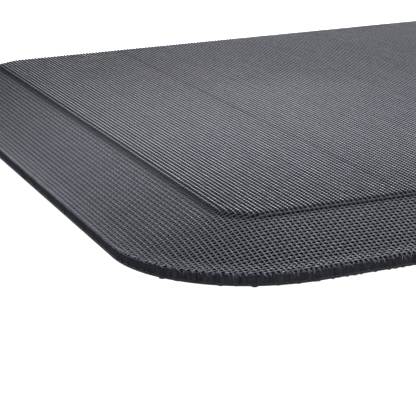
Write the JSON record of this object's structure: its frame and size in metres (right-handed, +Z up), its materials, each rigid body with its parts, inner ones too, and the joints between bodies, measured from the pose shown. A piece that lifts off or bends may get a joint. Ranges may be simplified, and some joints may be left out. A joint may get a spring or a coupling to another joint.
{
  "type": "anti-fatigue mat",
  "caption": "Cushioned standing mat with a raised flat platform, a bevelled border on every side, a woven cover and a non-slip backing.",
  "frame": {"origin": "on the floor under the centre of the mat", "axes": "+X along the long side, +Y along the short side, +Z up out of the platform"},
  "size_m": [0.762, 0.457, 0.016],
  "materials": {
    "woven_vinyl": "charcoal grey coated yarn in a plain weave over a near-black ground, low sheen",
    "bond_film": "dark translucent hot-melt film",
    "core_foam": "near-black closed-cell foam, fibrous where it is cut",
    "backing_rubber": "black matte non-slip rubber with a fine grip pattern underneath"
  },
  "bodies": {
    "root": {"woven_cover": "woven_vinyl", "cover_bond_film": "bond_film", "foam_core": "core_foam", "backing_bond_film": "bond_film", "backing_sheet": "backing_rubber"}
  },
  "joints": []
}
